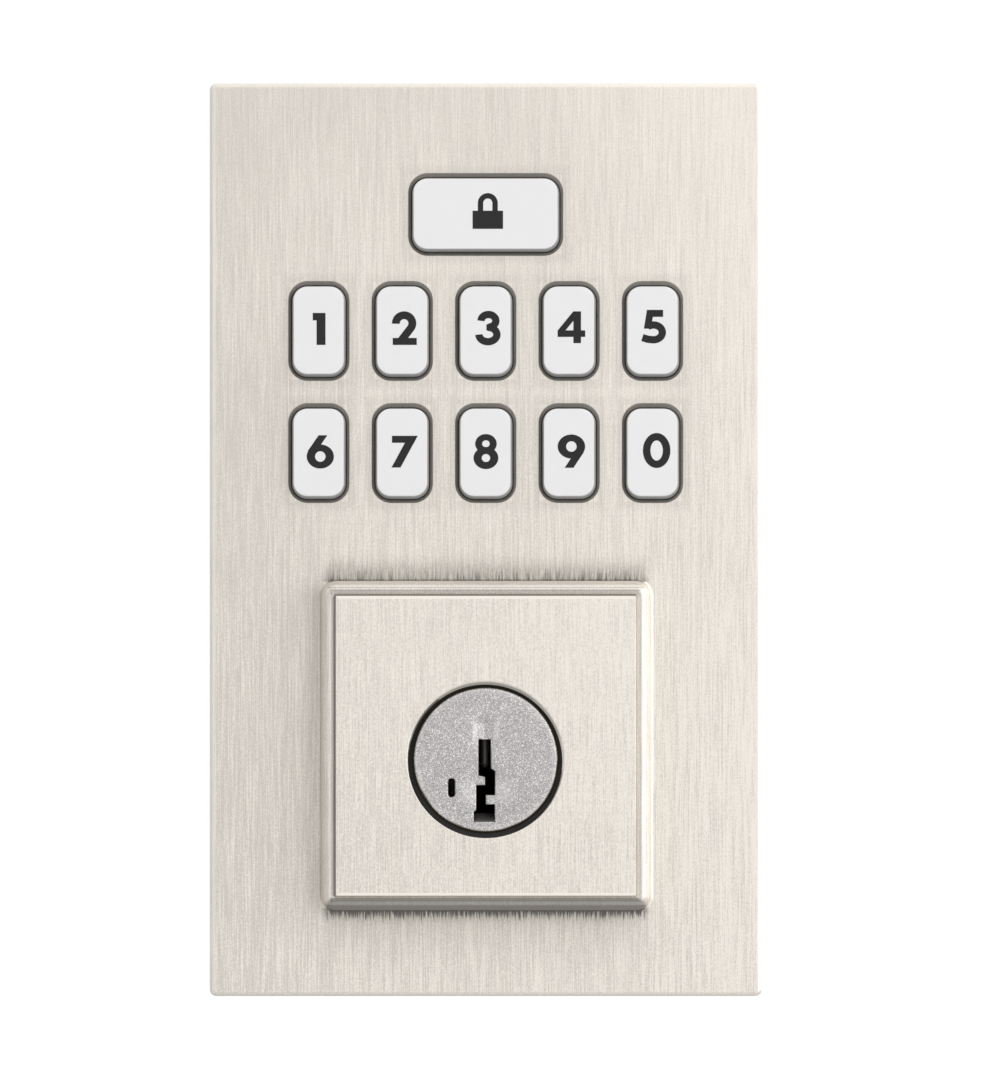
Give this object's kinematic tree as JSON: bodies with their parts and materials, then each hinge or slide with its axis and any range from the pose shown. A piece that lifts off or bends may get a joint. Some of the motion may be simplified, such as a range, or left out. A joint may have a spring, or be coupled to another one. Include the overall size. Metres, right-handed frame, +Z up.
{
  "type": "keypad smart lock",
  "caption": "Outside unit of an electronic door lock: rectangular metal cover with white number keys over a pin cylinder in a raised square.",
  "frame": {"origin": "on the key cylinder's axis, at the face of the door that the unit lies against", "axes": "-Y is the front that faces the user, +Y goes into the door, +Z is up, +X is to the right seen from the front"},
  "size_m": [0.0744, 0.081, 0.123],
  "materials": {
    "satin_nickel": "satin nickel plate on a zinc casting, fine vertical brushing",
    "key_white": "smooth white, lets light through",
    "guide_plastic": "satin",
    "silicone": "matt silicone",
    "spring_steel": "bright",
    "board_laminate": "solder mask",
    "led_body": "clear over yellow",
    "black_plastic": "satin black",
    "socket_plastic": "natural nylon",
    "plated_steel": "zinc plated",
    "black_rubber": "matt",
    "brass_body": "machined",
    "plug_metal": "bead-blasted nickel plate",
    "pin_metal": "nickel silver"
  },
  "bodies": {
    "housing": {"front_cover": "satin_nickel", "key_guide": "guide_plastic", "keypad_mat": "silicone", "snap_domes": "spring_steel", "circuit_board": "board_laminate", "backlight_leds": "led_body", "controller_chip": "black_plastic", "beeper": "black_plastic", "cable_socket": "socket_plastic", "board_screws": "plated_steel", "rear_plate": "plated_steel", "rear_plate_screws": "plated_steel", "cable_grommet": "black_rubber", "door_gasket": "black_rubber", "cylinder_shell": "brass_body", "cylinder_screws": "plated_steel", "cylinder_seal": "black_rubber"},
    "key_1": {"key_1": "key_white"},
    "key_2": {"key_2": "key_white"},
    "key_3": {"key_3": "key_white"},
    "key_4": {"key_4": "key_white"},
    "key_5": {"key_5": "key_white"},
    "key_6": {"key_6": "key_white"},
    "key_7": {"key_7": "key_white"},
    "key_8": {"key_8": "key_white"},
    "key_9": {"key_9": "key_white"},
    "key_0": {"key_0": "key_white"},
    "key_lock": {"key_lock": "key_white"},
    "plug": {"cylinder_plug": "plug_metal", "plug_clip": "spring_steel", "torque_blade": "plated_steel", "spring_cover": "brass_body", "sidebar": "brass_body", "sidebar_springs": "spring_steel", "pin_spring_1": "spring_steel", "pin_spring_2": "spring_steel", "pin_spring_3": "spring_steel", "pin_spring_4": "spring_steel", "pin_spring_5": "spring_steel"},
    "pin_1": {"pin_1": "pin_metal", "rack_1": "spring_steel"},
    "pin_2": {"pin_2": "pin_metal", "rack_2": "spring_steel"},
    "pin_3": {"pin_3": "pin_metal", "rack_3": "spring_steel"},
    "pin_4": {"pin_4": "pin_metal", "rack_4": "spring_steel"},
    "pin_5": {"pin_5": "pin_metal", "rack_5": "spring_steel"}
  },
  "joints": [
    {"name": "press_key_1", "type": "slide", "parent": "housing", "child": "key_1", "axis": [0, 1, 0], "range_m": [0, 0.001], "stiffness_N_per_m": 600, "springref_m": -0.0008, "deforming": ["keypad_mat"]},
    {"name": "press_key_2", "type": "slide", "parent": "housing", "child": "key_2", "axis": [0, 1, 0], "range_m": [0, 0.001], "stiffness_N_per_m": 600, "springref_m": -0.0008, "deforming": ["keypad_mat"]},
    {"name": "press_key_3", "type": "slide", "parent": "housing", "child": "key_3", "axis": [0, 1, 0], "range_m": [0, 0.001], "stiffness_N_per_m": 600, "springref_m": -0.0008, "deforming": ["keypad_mat"]},
    {"name": "press_key_4", "type": "slide", "parent": "housing", "child": "key_4", "axis": [0, 1, 0], "range_m": [0, 0.001], "stiffness_N_per_m": 600, "springref_m": -0.0008, "deforming": ["keypad_mat"]},
    {"name": "press_key_5", "type": "slide", "parent": "housing", "child": "key_5", "axis": [0, 1, 0], "range_m": [0, 0.001], "stiffness_N_per_m": 600, "springref_m": -0.0008, "deforming": ["keypad_mat"]},
    {"name": "press_key_6", "type": "slide", "parent": "housing", "child": "key_6", "axis": [0, 1, 0], "range_m": [0, 0.001], "stiffness_N_per_m": 600, "springref_m": -0.0008, "deforming": ["keypad_mat"]},
    {"name": "press_key_7", "type": "slide", "parent": "housing", "child": "key_7", "axis": [0, 1, 0], "range_m": [0, 0.001], "stiffness_N_per_m": 600, "springref_m": -0.0008, "deforming": ["keypad_mat"]},
    {"name": "press_key_8", "type": "slide", "parent": "housing", "child": "key_8", "axis": [0, 1, 0], "range_m": [0, 0.001], "stiffness_N_per_m": 600, "springref_m": -0.0008, "deforming": ["keypad_mat"]},
    {"name": "press_key_9", "type": "slide", "parent": "housing", "child": "key_9", "axis": [0, 1, 0], "range_m": [0, 0.001], "stiffness_N_per_m": 600, "springref_m": -0.0008, "deforming": ["keypad_mat"]},
    {"name": "press_key_0", "type": "slide", "parent": "housing", "child": "key_0", "axis": [0, 1, 0], "range_m": [0, 0.001], "stiffness_N_per_m": 600, "springref_m": -0.0008, "deforming": ["keypad_mat"]},
    {"name": "press_key_lock", "type": "slide", "parent": "housing", "child": "key_lock", "axis": [0, 1, 0], "range_m": [0, 0.001], "stiffness_N_per_m": 600, "springref_m": -0.0008, "deforming": ["keypad_mat"]},
    {"name": "turn_plug", "type": "hinge", "parent": "housing", "child": "plug", "pos_m": [0, 0, 0], "axis": [0, 1, 0], "range_deg": [-90, 90]},
    {"name": "lift_pin_1", "type": "slide", "parent": "plug", "child": "pin_1", "axis": [0, 0, 1], "range_m": [0, 0.002], "stiffness_N_per_m": 150, "springref_m": -0.001, "deforming": ["pin_spring_1"]},
    {"name": "lift_pin_2", "type": "slide", "parent": "plug", "child": "pin_2", "axis": [0, 0, 1], "range_m": [0, 0.002], "stiffness_N_per_m": 150, "springref_m": -0.001, "deforming": ["pin_spring_2"]},
    {"name": "lift_pin_3", "type": "slide", "parent": "plug", "child": "pin_3", "axis": [0, 0, 1], "range_m": [0, 0.002], "stiffness_N_per_m": 150, "springref_m": -0.001, "deforming": ["pin_spring_3"]},
    {"name": "lift_pin_4", "type": "slide", "parent": "plug", "child": "pin_4", "axis": [0, 0, 1], "range_m": [0, 0.002], "stiffness_N_per_m": 150, "springref_m": -0.001, "deforming": ["pin_spring_4"]},
    {"name": "lift_pin_5", "type": "slide", "parent": "plug", "child": "pin_5", "axis": [0, 0, 1], "range_m": [0, 0.002], "stiffness_N_per_m": 150, "springref_m": -0.001, "deforming": ["pin_spring_5"]}
  ]
}
